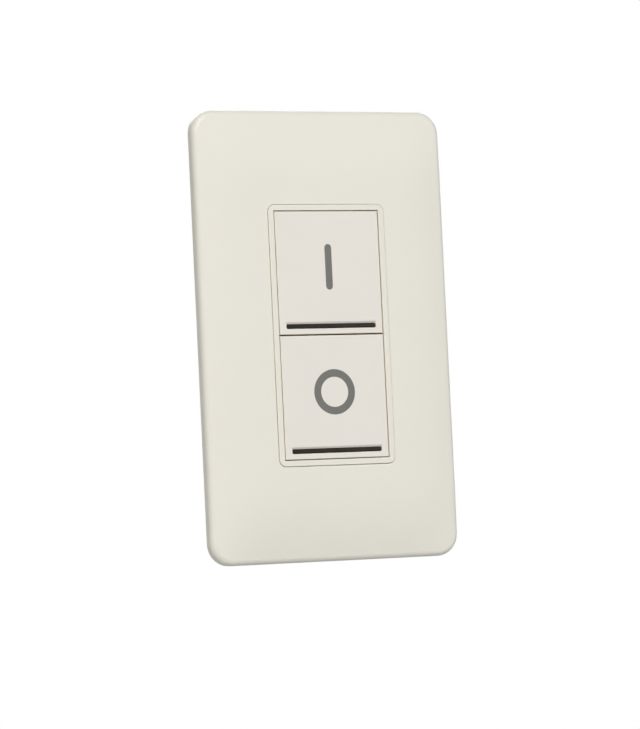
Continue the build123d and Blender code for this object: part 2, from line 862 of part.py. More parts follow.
parts = {
    "wall_plate": make_wall_plate(),
    "sub_plate": make_sub_plate(),
    "sub_plate_screws": make_sub_plate_screws(),
    "yoke": make_yoke(),
    "bezel": make_bezel(),
    "on_button": make_button("on", on_mark()),
    "off_button": make_button("off", off_mark()),
    "on_symbol": make_symbol(on_mark()),
    "off_symbol": make_symbol(off_mark()),
    "on_light_bar": make_light_bar("on"),
    "off_light_bar": make_light_bar("off"),
    "on_switch_base": make_switch_base("on"),
    "off_switch_base": make_switch_base("off"),
    "on_switch_cover": make_switch_cover("on"),
    "off_switch_cover": make_switch_cover("off"),
    "on_switch_plunger": make_switch_plunger("on"),
    "off_switch_plunger": make_switch_plunger("off"),
    "switch_terminals": make_switch_terminals(),
    "status_leds": make_status_leds(),
    "circuit_board": make_circuit_board(),
    "board_screws": make_board_screws(),
    "microcontroller": make_microcontroller(),
    "bus_transceiver": make_bus_transceiver(),
    "voltage_regulator": make_voltage_regulator(),
    "filter_capacitor": make_filter_capacitor(),
    "clock_crystal": make_clock_crystal(),
    "power_inductor": make_power_inductor(),
    "terminal_header": make_terminal_header(),
    "terminal_pins": make_terminal_pins(),
    "terminal_plug": make_terminal_plug(),
    "terminal_screws": make_terminal_screws(),
    "rear_housing": make_rear_housing(),
    "housing_screws": make_housing_screws(),
}

os.makedirs("parts", exist_ok=True)
for name, shape in parts.items():
    export_step(shape, f"parts/{name}.step")
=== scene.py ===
import math

import bmesh
import bpy
from mathutils import Matrix, Vector


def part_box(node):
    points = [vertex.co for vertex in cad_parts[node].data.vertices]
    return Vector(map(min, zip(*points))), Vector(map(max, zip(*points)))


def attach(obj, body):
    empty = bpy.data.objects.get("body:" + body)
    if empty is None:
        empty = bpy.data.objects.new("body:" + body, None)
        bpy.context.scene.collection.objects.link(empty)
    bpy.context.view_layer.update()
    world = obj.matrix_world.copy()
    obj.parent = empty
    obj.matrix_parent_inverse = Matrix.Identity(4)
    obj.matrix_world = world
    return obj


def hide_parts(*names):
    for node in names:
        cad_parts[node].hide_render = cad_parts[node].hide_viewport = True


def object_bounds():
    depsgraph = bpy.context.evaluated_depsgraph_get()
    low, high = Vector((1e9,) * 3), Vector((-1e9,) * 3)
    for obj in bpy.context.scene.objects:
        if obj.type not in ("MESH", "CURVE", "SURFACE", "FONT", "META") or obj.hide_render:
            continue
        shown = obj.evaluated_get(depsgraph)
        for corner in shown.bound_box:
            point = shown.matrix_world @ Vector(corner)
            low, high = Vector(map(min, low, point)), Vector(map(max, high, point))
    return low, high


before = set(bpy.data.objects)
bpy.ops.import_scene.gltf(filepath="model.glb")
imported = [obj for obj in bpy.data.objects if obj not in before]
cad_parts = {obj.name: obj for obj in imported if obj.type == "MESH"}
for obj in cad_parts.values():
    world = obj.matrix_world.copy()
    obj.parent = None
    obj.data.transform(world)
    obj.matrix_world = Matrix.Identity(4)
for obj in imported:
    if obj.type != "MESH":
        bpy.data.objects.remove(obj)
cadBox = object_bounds()
bpy.context.scene.view_settings.view_transform = "Standard"
print("frame loaded:", len(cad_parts), "nodes")

white = (1.0, 1.0, 1.0)


def rgb(colour):
    return (*colour, 1.0)


# helpers for building node trees
def addNode(tree, kind, **values):
    node = tree.nodes.new(kind)
    for key, value in values.items():
        if key in node.inputs:
            node.inputs[key].default_value = value
        else:
            setattr(node, key, value)
    return node


def join(tree, source, target):
    tree.links.new(source, target)


def feed(tree, target, value):
    # another node's output is linked, and a plain value is set
    if isinstance(value, bpy.types.NodeSocket):
        join(tree, value, target)
    else:
        target.default_value = value


def newGroup(name, inputs, outputs):
    group = bpy.data.node_groups.new(name, "ShaderNodeTree")
    for label, kind, start in inputs:
        socket = group.interface.new_socket(name=label, in_out="INPUT", socket_type=kind)
        if start is not None:
            socket.default_value = start
    for label, kind in outputs:
        group.interface.new_socket(name=label, in_out="OUTPUT", socket_type=kind)
    start = group.nodes.new("NodeGroupInput")
    end = group.nodes.new("NodeGroupOutput")
    return group, start.outputs, end.inputs


def useGroup(tree, group, **values):
    node = tree.nodes.new("ShaderNodeGroup")
    node.node_tree = group
    for key, value in values.items():
        node.inputs[key].default_value = value
    return node


def mathNode(tree, operation, first, second):
    node = addNode(tree, "ShaderNodeMath", operation=operation)
    for slot, value in enumerate((first, second)):
        feed(tree, node.inputs[slot], value)
    return node.outputs[0]


def mixColours(tree, share, first, second):
    node = addNode(tree, "ShaderNodeMix", data_type="RGBA")
    for label, value in (("Factor", share), ("A", first), ("B", second)):
        feed(tree, node.inputs[label], value)
    return node.outputs["Result"]


def mixShaders(tree, share, first, second):
    node = tree.nodes.new("ShaderNodeMixShader")
    for slot, source in enumerate((share, first, second)):
        join(tree, source, node.inputs[slot])
    return node.outputs[0]


def remap(tree, source, span, ends=(0.0, 1.0), kind="SMOOTHSTEP"):
    # carries the values in span over to the values between ends
    node = addNode(tree, "ShaderNodeMapRange", interpolation_type=kind)
    node.inputs["From Min"].default_value, node.inputs["From Max"].default_value = span
    for label, value in zip(("To Min", "To Max"), ends):
        feed(tree, node.inputs[label], value)
    join(tree, source, node.inputs["Value"])
    return node.outputs["Result"]


def objectCoords(tree):
    return tree.nodes.new("ShaderNodeTexCoord").outputs["Object"]


def addNoise(tree, where, scale, settings):
    node = addNode(tree, "ShaderNodeTexNoise", Detail=settings["detail"],
                   Roughness=settings["roughness"])
    join(tree, where, node.inputs["Vector"])
    join(tree, scale, node.inputs["Scale"])
    return node.outputs["Fac"]


# surface effects that several materials share, each after its own settings
driftSettings = {"detail": 3.0, "roughness": 0.5, "span": (0.35, 0.68)}


def buildColourDrift(settings):
    # slow change of shade over a moulded or plated surface
    group, given, result = newGroup(
        "colourDrift",
        [("Colour", "NodeSocketColor", None), ("Drift", "NodeSocketColor", None),
         ("Scale", "NodeSocketFloat", 40.0), ("Amount", "NodeSocketFloat", 0.3)],
        [("Colour", "NodeSocketColor")])
    noise = addNoise(group, objectCoords(group), given["Scale"], settings)
    share = mathNode(group, "MULTIPLY", remap(group, noise, settings["span"]), given["Amount"])
    join(group, mixColours(group, share, given["Colour"], given["Drift"]), result["Colour"])
    return group


grainSettings = {"fine": {"detail": 2.0, "roughness": 0.6},
                 "broad": {"detail": 2.0, "roughness": 0.5},
                 "broadShare": 0.09, "span": (0.3, 0.7)}


def buildMouldGrain(settings):
    # fine spark-eroded or polished texture left by the mould
    group, given, result = newGroup(
        "mouldGrain",
        [("Scale", "NodeSocketFloat", 3000.0), ("Coarse", "NodeSocketFloat", 0.25),
         ("Smooth", "NodeSocketFloat", 0.4), ("Rough", "NodeSocketFloat", 0.5)],
        [("Height", "NodeSocketFloat"), ("Roughness", "NodeSocketFloat")])
    where = objectCoords(group)
    fine = addNoise(group, where, given["Scale"], settings["fine"])
    broadScale = mathNode(group, "MULTIPLY", given["Scale"], settings["broadShare"])
    broad = addNoise(group, where, broadScale, settings["broad"])
    coarse = mathNode(group, "MULTIPLY", broad, given["Coarse"])
    join(group, mathNode(group, "ADD", fine, coarse), result["Height"])
    level = remap(group, broad, settings["span"], (given["Smooth"], given["Rough"]), "LINEAR")
    join(group, level, result["Roughness"])
    return group


edgeWearAndHighlightSettings = {"samples": 4, "detail": 3.0, "roughness": 0.6, "span": (0.995, 0.85)}


def buildEdgeWearAndPaintedHighlight(settings):
    # edges made brighter, partly as wear from handling and partly as a painted highlight along
    # rounded edges
    group, given, result = newGroup(
        "edgeWearAndPaintedHighlight",
        [("Radius", "NodeSocketFloat", 0.0003), ("Breakup", "NodeSocketFloat", 600.0),
         ("Amount", "NodeSocketFloat", 0.5)],
        [("Mask", "NodeSocketFloat")])
    bevel = addNode(group, "ShaderNodeBevel", samples=settings["samples"])
    join(group, given["Radius"], bevel.inputs["Radius"])
    geometry = group.nodes.new("ShaderNodeNewGeometry")
    compare = addNode(group, "ShaderNodeVectorMath", operation="DOT_PRODUCT")
    join(group, bevel.outputs["Normal"], compare.inputs[0])
    join(group, geometry.outputs["True Normal"], compare.inputs[1])
    edge = remap(group, compare.outputs["Value"], settings["span"])
    noise = addNoise(group, objectCoords(group), given["Breakup"], settings)
    patchy = mathNode(group, "MULTIPLY", edge, noise)
    join(group, mathNode(group, "MULTIPLY", patchy, given["Amount"]), result["Mask"])
    return group


rollSettings = {"detail": 4.0, "roughness": 0.65, "span": (0.3, 0.7)}


def buildRollLines(settings):
    # long faint lines in rolled or drawn metal
    group, given, result = newGroup(
        "rollLines",
        [("Along", "NodeSocketVector", (1.0, 1.0, 0.04)), ("Scale", "NodeSocketFloat", 2500.0),
         ("Smooth", "NodeSocketFloat", 0.28), ("Rough", "NodeSocketFloat", 0.42)],
        [("Height", "NodeSocketFloat"), ("Roughness", "NodeSocketFloat")])
    stretch = addNode(group, "ShaderNodeVectorMath", operation="MULTIPLY")
    join(group, objectCoords(group), stretch.inputs[0])
    join(group, given["Along"], stretch.inputs[1])
    noise = addNoise(group, stretch.outputs["Vector"], given["Scale"], settings)
    join(group, noise, result["Height"])
    level = remap(group, noise, settings["span"], (given["Smooth"], given["Rough"]), "LINEAR")
    join(group, level, result["Roughness"])
    return group


seamShadeSettings = {"samples": 8, "span": (0.85, 0.3)}


def buildSeamShade(settings):
    # painted shade: narrow seams and grooves, where pale plastic is made darker and warmer and a
    # dark lens darker, by how closed in the surface is
    group, given, result = newGroup(
        "seamShade",
        [("Reach", "NodeSocketFloat", 0.001), ("Amount", "NodeSocketFloat", 1.0)],
        [("Mask", "NodeSocketFloat")])
    closeness = addNode(group, "ShaderNodeAmbientOcclusion", samples=settings["samples"])
    join(group, given["Reach"], closeness.inputs["Distance"])
    depth = remap(group, closeness.outputs["AO"], settings["span"])
    join(group, mathNode(group, "MULTIPLY", depth, given["Amount"]), result["Mask"])
    return group


colourDrift = buildColourDrift(driftSettings)
mouldGrain = buildMouldGrain(grainSettings)
edgeWearAndPaintedHighlight = buildEdgeWearAndPaintedHighlight(edgeWearAndHighlightSettings)
rollLines = buildRollLines(rollSettings)
seamShade = buildSeamShade(seamShadeSettings)
print("surface effects built")


# the steps that the materials have in common
def startMaterial(name):
    material = bpy.data.materials.new(name)
    material.use_nodes = True
    return material, material.node_tree, material.node_tree.nodes["Principled BSDF"]


def driftedColour(tree, look):
    drift = useGroup(tree, colourDrift, Colour=rgb(look["colour"]), Drift=rgb(look["drift"]),
                     Scale=look["driftScale"], Amount=look["driftAmount"])
    return drift.outputs["Colour"]


def seamShadedColour(tree, look, colour):
    # painted shade: mixes towards a darker, warmer colour in seams and grooves
    seamShading = useGroup(tree, seamShade, Reach=look["seamShadeReach"], Amount=look["seamShading"])
    return mixColours(tree, seamShading.outputs["Mask"], colour, rgb(look["seamShadeColour"]))


def wornAndHighlightedColour(tree, look, colour):
    # painted highlight and wear: mixes towards a lighter colour along rounded edges
    edgeWearAndHighlight = useGroup(tree, edgeWearAndPaintedHighlight, Radius=look["wearAndHighlightRadius"], Breakup=look["breakup"],
                   Amount=look["edgeWearAndHighlight"])
    return mixColours(tree, edgeWearAndHighlight.outputs["Mask"], colour, rgb(look["wearAndHighlightColour"]))


def addGrain(tree, look):
    return useGroup(tree, mouldGrain, Scale=look["grainScale"], Coarse=look["coarse"],
                    Smooth=look["smooth"], Rough=look["rough"])


def addBump(tree, shader, height, distance, strength):
    bump = addNode(tree, "ShaderNodeBump", Strength=strength, Distance=distance)
    join(tree, height, bump.inputs["Height"])
    join(tree, bump.outputs["Normal"], shader.inputs["Normal"])


# plastics and other moulded or pressed pieces; the smoked lens gets painted shade, darkest where
# its groove closes
plasticLooks = {
    "platePlastic": {
        "colour": (0.80, 0.775, 0.70), "drift": (0.785, 0.76, 0.68), "driftScale": 35.0,
        "driftAmount": 0.5, "grainScale": 4200.0, "coarse": 0.5, "smooth": 0.36, "rough": 0.46,
        "specular": 0.3, "grainDepth": 0.00001, "bump": 0.25,
        "seamShadeColour": (0.80, 0.68, 0.46), "seamShadeReach": 0.0010, "seamShading": 0.45,
        "wearAndHighlightColour": (0.92, 0.89, 0.81), "wearAndHighlightRadius": 0.0002, "edgeWearAndHighlight": 1.3, "breakup": 700.0},
    "keyPlastic": {
        "colour": (0.795, 0.765, 0.71), "drift": (0.78, 0.75, 0.69), "driftScale": 60.0,
        "driftAmount": 0.5, "grainScale": 5200.0, "coarse": 0.4, "smooth": 0.38, "rough": 0.48,
        "specular": 0.3, "grainDepth": 0.00001, "bump": 0.3,
        "seamShadeColour": (0.78, 0.62, 0.38), "seamShadeReach": 0.0010, "seamShading": 0.85,
        "wearAndHighlightColour": (0.92, 0.89, 0.83), "wearAndHighlightRadius": 0.0002, "edgeWearAndHighlight": 1.3, "breakup": 700.0},
    "symbolInk": {
        "colour": (0.170, 0.167, 0.150), "drift": (0.157, 0.154, 0.140), "driftScale": 250.0,
        "driftAmount": 0.6, "grainScale": 9000.0, "coarse": 0.3, "smooth": 0.5, "rough": 0.6,
        "specular": 0.3, "grainDepth": 0.000008, "bump": 0.3},
    "smokedLens": {
        "colour": (0.018, 0.013, 0.007), "drift": (0.028, 0.020, 0.011), "driftScale": 260.0,
        "driftAmount": 0.5, "grainScale": 3000.0, "coarse": 0.6, "smooth": 0.12, "rough": 0.22,
        "specular": 0.2, "grainDepth": 0.000004, "bump": 0.15,
        "seamShadeColour": (0.004, 0.003, 0.002), "seamShadeReach": 0.0004, "seamShading": 1.0},
    "greyPlastic": {
        "colour": (0.105, 0.105, 0.11), "drift": (0.088, 0.088, 0.093), "driftScale": 50.0,
        "driftAmount": 0.6, "grainScale": 2600.0, "coarse": 0.6, "smooth": 0.45, "rough": 0.6,
        "specular": 0.45, "grainDepth": 0.00003, "bump": 0.5,
        "wearAndHighlightColour": (0.2, 0.2, 0.21), "wearAndHighlightRadius": 0.0003, "edgeWearAndHighlight": 0.7, "breakup": 700.0},
    "blackPlastic": {
        "colour": (0.023, 0.023, 0.025), "drift": (0.016, 0.016, 0.017), "driftScale": 60.0,
        "driftAmount": 0.7, "grainScale": 2300.0, "coarse": 0.7, "smooth": 0.42, "rough": 0.6,
        "specular": 0.34, "grainDepth": 0.00004, "bump": 0.6,
        "wearAndHighlightColour": (0.075, 0.075, 0.08), "wearAndHighlightRadius": 0.0003, "edgeWearAndHighlight": 0.8, "breakup": 700.0},
    "terminalGreen": {
        "colour": (0.02, 0.24, 0.085), "drift": (0.014, 0.19, 0.065), "driftScale": 90.0,
        "driftAmount": 0.6, "grainScale": 3200.0, "coarse": 0.5, "smooth": 0.34, "rough": 0.5,
        "specular": 0.3, "grainDepth": 0.00002, "bump": 0.4,
        "wearAndHighlightColour": (0.07, 0.36, 0.16), "wearAndHighlightRadius": 0.0002, "edgeWearAndHighlight": 0.5, "breakup": 700.0},
    "ferrite": {
        "colour": (0.06, 0.06, 0.062), "drift": (0.045, 0.045, 0.05), "driftScale": 400.0,
        "driftAmount": 0.8, "grainScale": 4000.0, "coarse": 0.8, "smooth": 0.55, "rough": 0.75,
        "specular": 0.4, "grainDepth": 0.00004, "bump": 0.6},
    "ledWhite": {
        "colour": (0.78, 0.74, 0.5), "drift": (0.85, 0.83, 0.72), "driftScale": 900.0,
        "driftAmount": 0.8, "grainScale": 6000.0, "coarse": 0.3, "smooth": 0.2, "rough": 0.35,
        "specular": 0.5, "grainDepth": 0.00001, "bump": 0.2},
}


def mouldedPlastic(name, look):
    material, tree, shader = startMaterial(name)
    colour = driftedColour(tree, look)
    # painted shade in seams and grooves
    if "seamShadeColour" in look:
        colour = seamShadedColour(tree, look, colour)
    # painted highlight and wear along rounded edges
    if "wearAndHighlightColour" in look:
        colour = wornAndHighlightedColour(tree, look, colour)
    grain = addGrain(tree, look)
    join(tree, colour, shader.inputs["Base Color"])
    join(tree, grain.outputs["Roughness"], shader.inputs["Roughness"])
    shader.inputs["Specular IOR Level"].default_value = look["specular"]
    addBump(tree, shader, grain.outputs["Height"], look["grainDepth"], look["bump"])
    return material


metalLooks = {
    "zincSteel": {
        "colour": (0.47, 0.48, 0.49), "drift": (0.40, 0.40, 0.375), "driftScale": 110.0,
        "driftAmount": 0.8, "along": (1.0, 1.0, 0.05), "lineScale": 1500.0, "smooth": 0.26,
        "rough": 0.5, "lineDepth": 0.00002, "bump": 0.55,
        "wearAndHighlightColour": (0.64, 0.65, 0.66), "wearAndHighlightRadius": 0.0003, "edgeWearAndHighlight": 0.7, "breakup": 900.0},
    "tinPlate": {
        "colour": (0.66, 0.65, 0.62), "drift": (0.58, 0.57, 0.54), "driftScale": 200.0,
        "driftAmount": 0.6, "along": (1.0, 1.0, 0.3), "lineScale": 4000.0, "smooth": 0.25,
        "rough": 0.42, "lineDepth": 0.000008, "bump": 0.25,
        "wearAndHighlightColour": (0.8, 0.8, 0.79), "wearAndHighlightRadius": 0.0001, "edgeWearAndHighlight": 0.5, "breakup": 900.0},
    "canAluminium": {
        "colour": (0.74, 0.745, 0.75), "drift": (0.66, 0.665, 0.67), "driftScale": 150.0,
        "driftAmount": 0.5, "along": (1.0, 0.06, 1.0), "lineScale": 3500.0, "smooth": 0.22,
        "rough": 0.36, "lineDepth": 0.000008, "bump": 0.25,
        "wearAndHighlightColour": (0.85, 0.85, 0.86), "wearAndHighlightRadius": 0.0002, "edgeWearAndHighlight": 0.5, "breakup": 900.0},
    "pinBrass": {
        "colour": (0.72, 0.56, 0.28), "drift": (0.62, 0.46, 0.22), "driftScale": 300.0,
        "driftAmount": 0.6, "along": (1.0, 0.1, 1.0), "lineScale": 4200.0, "smooth": 0.22,
        "rough": 0.38, "lineDepth": 0.000006, "bump": 0.2,
        "wearAndHighlightColour": (0.85, 0.7, 0.42), "wearAndHighlightRadius": 0.0001, "edgeWearAndHighlight": 0.4, "breakup": 900.0},
}


def sheetMetal(name, look):
    material, tree, shader = startMaterial(name)
    lines = useGroup(tree, rollLines, Along=look["along"], Scale=look["lineScale"],
                     Smooth=look["smooth"], Rough=look["rough"])
    colour = wornAndHighlightedColour(tree, look, driftedColour(tree, look))
    join(tree, colour, shader.inputs["Base Color"])
    join(tree, lines.outputs["Roughness"], shader.inputs["Roughness"])
    shader.inputs["Metallic"].default_value = 1.0
    addBump(tree, shader, lines.outputs["Height"], look["lineDepth"], look["bump"])
    return material


boardLook = {"mask": (0.012, 0.11, 0.045), "track": (0.03, 0.2, 0.085), "trackScale": 420.0,
             "trackSpan": (0.42, 0.5), "trackDepth": 0.00003, "bump": 0.5,
             "grainScale": 2500.0, "coarse": 0.3, "smooth": 0.22, "rough": 0.4}


def solderMask(name, look):
    # green mask over raised copper tracks
    material, tree, shader = startMaterial(name)
    cells = addNode(tree, "ShaderNodeTexVoronoi", feature="F1", distance="MANHATTAN",
                    Scale=look["trackScale"])
    join(tree, objectCoords(tree), cells.inputs["Vector"])
    tracks = remap(tree, cells.outputs["Distance"], look["trackSpan"])
    colour = mixColours(tree, tracks, rgb(look["mask"]), rgb(look["track"]))
    join(tree, colour, shader.inputs["Base Color"])
    join(tree, addGrain(tree, look).outputs["Roughness"], shader.inputs["Roughness"])
    addBump(tree, shader, tracks, look["trackDepth"], look["bump"])
    return material


materials = {name: mouldedPlastic(name, look) for name, look in plasticLooks.items()}
materials.update({name: sheetMetal(name, look) for name, look in metalLooks.items()})
materials["boardGreen"] = solderMask("boardGreen", boardLook)
print("materials built:", len(materials))


# which finish each node gets
nodeFinish = {
    "wall_plate": "platePlastic", "bezel": "platePlastic",
    "on_button": "keyPlastic", "off_button": "keyPlastic",
    "on_symbol": "symbolInk", "off_symbol": "symbolInk",
    "on_light_bar": "smokedLens", "off_light_bar": "smokedLens",
    "sub_plate": "greyPlastic", "yoke": "zincSteel", "sub_plate_screws": "zincSteel",
    "rear_housing": "blackPlastic", "housing_screws": "zincSteel",
    "circuit_board": "boardGreen", "board_screws": "zincSteel",
    "on_switch_base": "blackPlastic", "off_switch_base": "blackPlastic",
    "on_switch_cover": "tinPlate", "off_switch_cover": "tinPlate",
    "on_switch_plunger": "blackPlastic", "off_switch_plunger": "blackPlastic",
    "switch_terminals": "tinPlate", "status_leds": "ledWhite",
    "microcontroller": "blackPlastic", "bus_transceiver": "blackPlastic",
    "voltage_regulator": "blackPlastic", "filter_capacitor": "canAluminium",
    "clock_crystal": "tinPlate", "power_inductor": "ferrite",
    "terminal_header": "terminalGreen", "terminal_plug": "terminalGreen",
    "terminal_pins": "pinBrass", "terminal_screws": "zincSteel",
}


def dress(piece, material):
    if not piece.material_slots:
        piece.data.materials.append(material)
    for slot in piece.material_slots:
        slot.link = "OBJECT"
        slot.material = material


for nodeName, finish in nodeFinish.items():
    dress(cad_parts[nodeName], materials[finish])
print("nodes dressed")


# mesh tools for the small turned pieces, which are made along +Z and then put in place
def addLathe(body, profile, steps):
    rings = []
    for radius, level in profile:
        if radius == 0.0:
            rings.append([body.verts.new((0.0, 0.0, level))])
            continue
        rings.append([body.verts.new((radius * math.cos(math.tau * j / steps),
                                      radius * math.sin(math.tau * j / steps), level))
                      for j in range(steps)])
    for inner, outer in zip(rings, rings[1:]):
        for j in range(steps):
            k = (j + 1) % steps
            corners = [inner[j % len(inner)], outer[j % len(outer)],
                       outer[k % len(outer)], inner[k % len(inner)]]
            body.faces.new(list(dict.fromkeys(corners)))  # a centre point counts once


def toMesh(name, body):
    mesh = bpy.data.meshes.new(name)
    body.to_mesh(mesh)
    body.free()
    return mesh


def toObject(name, body):
    bmesh.ops.recalc_face_normals(body, faces=body.faces)
    piece = bpy.data.objects.new(name, toMesh(name, body))
    bpy.context.scene.collection.objects.link(piece)
    return piece


def repeatShape(shape, moves):
    # one body that holds a copy of the shape for each move
    whole = bmesh.new()
    for move in moves:
        copy = shape.copy()
        copy.transform(move)
        whole.from_mesh(copy)
        bpy.data.meshes.remove(copy)
    bpy.data.meshes.remove(shape)
    return whole


def turnTo(direction):
    return Vector(direction).to_track_quat("Z", "Y").to_matrix().to_4x4()


def shadeSmooth(piece, sharpFrom):
    for polygon in piece.data.polygons:
        polygon.use_smooth = True
    piece.data.set_sharp_from_angle(angle=math.radians(sharpFrom))


# what all the screws share; tipRidge is how much of the ridge is left at the tip
screwSettings = {"rowsPerTurn": 8, "tipRidge": 0.35, "crossTaper": 0.55, "weld": 2e-6,
                 "sharpFrom": 35.0}


def addThread(body, look, start, end):
    # a core with a helical ridge that runs out at both ends
    steps, pitch = look["steps"], look["pitch"]
    rows = round((end - start) / pitch * screwSettings["rowsPerTurn"])
    rings = []
    for i in range(rows + 1):
        level = start + (end - start) * i / rows
        toTip = (end - level) / pitch + screwSettings["tipRidge"]
        ridge = min(1.0, (level - start) / pitch, toTip)
        taper = max(0.0, 1.0 - (end - level) / look["tipLength"]) * look["tipInset"]
        ring = []
        for j in range(steps):
            wave = abs((level / pitch - j / steps) % 1.0 * 2.0 - 1.0)
            radius = look["radius"] - look["depth"] * (1.0 - ridge + wave * ridge) - taper
            angle = math.tau * j / steps
            ring.append(body.verts.new((radius * math.cos(angle), radius * math.sin(angle), level)))
        rings.append(ring)
    for low, high in zip(rings, rings[1:]):
        for j in range(steps):
            k = (j + 1) % steps
            body.faces.new((low[j], low[k], high[k], high[j]))
    body.faces.new(list(reversed(rings[0])))
    body.faces.new(rings[-1])


def driveCutter(look):
    # the slot or the tapered cross that the driver goes into
    body = bmesh.new()
    cross = look["drive"] == "cross"
    for turn in (0, 90) if cross else (0,):
        for vert in bmesh.ops.create_cube(body, size=1.0)["verts"]:
            deep = vert.co.z > 0
            length = look["driveLength"] * (screwSettings["crossTaper"] if deep and cross else 1.0)
            vert.co = Vector((vert.co.x * length, vert.co.y * look["driveWidth"],
                              look["driveDepth"] if deep else -look["driveDepth"]))
            vert.co.rotate(Matrix.Rotation(math.radians(turn), 3, "Z"))
    return toObject("driveCutter", body)


def cutAway(piece, cutter):
    cut = piece.modifiers.new("cut", "BOOLEAN")
    cut.operation, cut.solver, cut.object, cut.use_self = "DIFFERENCE", "EXACT", cutter, True
    scene = bpy.context.evaluated_depsgraph_get()
    result = bpy.data.meshes.new_from_object(piece.evaluated_get(scene))
    piece.modifiers.clear()
    piece.data = result
    bpy.data.objects.remove(cutter)


def makeScrews(name, look, profile, length, places, toward, node):
    # one screw, cut once and then set at each place with its tip pointing toward
    body = bmesh.new()
    addLathe(body, profile, look["steps"] * 2)
    head = toObject(name, body)
    cutAway(head, driveCutter(look))
    single = bmesh.new()
    single.from_mesh(head.data)
    bmesh.ops.dissolve_degenerate(single, edges=single.edges, dist=screwSettings["weld"])
    addThread(single, look, profile[-1][1] - look["overlap"], length)
    turn = turnTo(toward)
    moves = [Matrix.Translation(place) @ turn
             @ Matrix.Rotation(look["turnStep"] * (i + 1), 4, "Z")
             for i, place in enumerate(places)]
    whole = repeatShape(toMesh(name, single), moves)
    whole.to_mesh(head.data)
    whole.free()
    shadeSmooth(head, screwSettings["sharpFrom"])
    dress(head, materials[look["finish"]])
    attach(head, "base")
    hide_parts(node)


# a screw's head is a list of (radius, level) from the middle of its face to its core
plateScrewLook = {
    "radius": 0.0017, "depth": 0.00028, "pitch": 0.0008, "steps": 32, "tipLength": 0.0006,
    "tipInset": 0.0005, "length": 0.0056, "overlap": 0.0002, "turnStep": 0.9, "drive": "slot",
    "driveLength": 0.0070, "driveWidth": 0.0008, "driveDepth": 0.0006, "finish": "zincSteel",
    "head": [(0.0, 0.0), (0.0026, 0.0), (0.0028, 0.0002), (0.0017, 0.00127),
             (0.00155, 0.0016), (0.0, 0.0016)]}


def makePlateScrews(look):
    low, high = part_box("sub_plate_screws")
    reach = high[2] - look["head"][2][0]
    places = [Vector((0.0, low[1], side * reach)) for side in (1, -1)]
    makeScrews("sub_plate_screws_threaded", look, look["head"], look["length"], places,
               (0, 1, 0), "sub_plate_screws")


# the crown is in shares of the head's radius and height
caseScrewLook = {
    "radius": 0.0010, "depth": 0.00017, "pitch": 0.00055, "steps": 24, "tipLength": 0.0012,
    "tipInset": 0.0006, "overlap": 0.0002, "turnStep": 0.55, "drive": "cross",
    "driveLength": 0.0023, "driveWidth": 0.0005, "driveDepth": 0.0008, "finish": "zincSteel",
    "headRadius": 0.0019, "headHeight": 0.0014, "neck": 0.0002,
    "crown": [(0.0, 0.0), (0.6, 0.0), (0.85, 0.08), (0.96, 0.3), (1.0, 0.55), (1.0, 1.0)]}


def makeCaseScrews(look):
    low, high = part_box("housing_screws")
    radius, height = look["headRadius"], look["headHeight"]
    head = [(wide * radius, deep * height) for wide, deep in look["crown"]]
    head += [(look["radius"], height), (look["radius"], height + look["neck"]),
             (0.0, height + look["neck"])]
    reachX, reachZ = high[0] - radius, high[2] - radius
    places = [Vector((x, high[1], z)) for x in (-reachX, reachX) for z in (-reachZ, reachZ)]
    makeScrews("housing_screws_threaded", look, head, high[1] - low[1], places,
               (0, -1, 0), "housing_screws")


clampScrewLook = {
    "radius": 0.00125, "depth": 0.0002, "pitch": 0.0005, "steps": 28, "tipLength": 0.0004,
    "tipInset": 0.0003, "overlap": 0.0001, "turnStep": 0.7, "drive": "slot",
    "driveLength": 0.0030, "driveWidth": 0.0006, "driveDepth": 0.0007, "finish": "zincSteel",
    "head": [(0.0, 0.0), (0.0011, 0.0), (0.00125, 0.00015), (0.00125, 0.0009),
             (0.00105, 0.0011), (0.0, 0.0011)]}
terminalCount = 4


def terminalColumns():
    low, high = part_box("terminal_pins")
    inset = (high[2] - low[2]) / 2  # the pins are square
    step = (high[0] - low[0] - 2 * inset) / (terminalCount - 1)
    return [low[0] + inset + step * i for i in range(terminalCount)]


def makeClampScrews(look):
    low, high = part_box("terminal_screws")
    places = [Vector((x, (low[1] + high[1]) / 2, low[2])) for x in terminalColumns()]
    makeScrews("terminal_screws_threaded", look, look["head"], high[2] - low[2], places,
               (0, 0, 1), "terminal_screws")


makePlateScrews(plateScrewLook)
makeCaseScrews(caseScrewLook)
makeClampScrews(clampScrewLook)
print("threaded screws made")


# tinned sleeves that grip the wires, set back in the plug's wire holes;
# the bore narrows between two shares of the length
sleeveLook = {"outer": 0.00136, "inner": 0.00112, "throat": 0.00085, "setBack": 0.0018,
              "length": 0.0048, "taperFrom": 0.12, "taperTo": 0.3, "steps": 40, "weld": 1e-7,
              "sharpFrom": 35.0}


def makeWireSleeves(look):
    low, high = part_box("terminal_plug")
    outer, inner, throat, length = (look[key] for key in ("outer", "inner", "throat", "length"))
    body = bmesh.new()
    addLathe(body, [(outer, 0.0), (outer, length), (throat, length),
                    (throat, length * look["taperTo"]), (inner, length * look["taperFrom"]),
                    (inner, 0.0), (outer, 0.0)], look["steps"])
    bmesh.ops.remove_doubles(body, verts=body.verts, dist=look["weld"])
    turn = turnTo((0, -1, 0))
    middle = (low[2] + high[2]) / 2
    moves = [Matrix.Translation((x, high[1] - look["setBack"], middle)) @ turn
             for x in terminalColumns()]
    sleeves = toObject("wire_sleeves", repeatShape(toMesh("sleeve", body), moves))
    shadeSmooth(sleeves, look["sharpFrom"])
    dress(sleeves, materials["tinPlate"])
    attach(sleeves, "base")


makeWireSleeves(sleeveLook)
print("wire sleeves made")


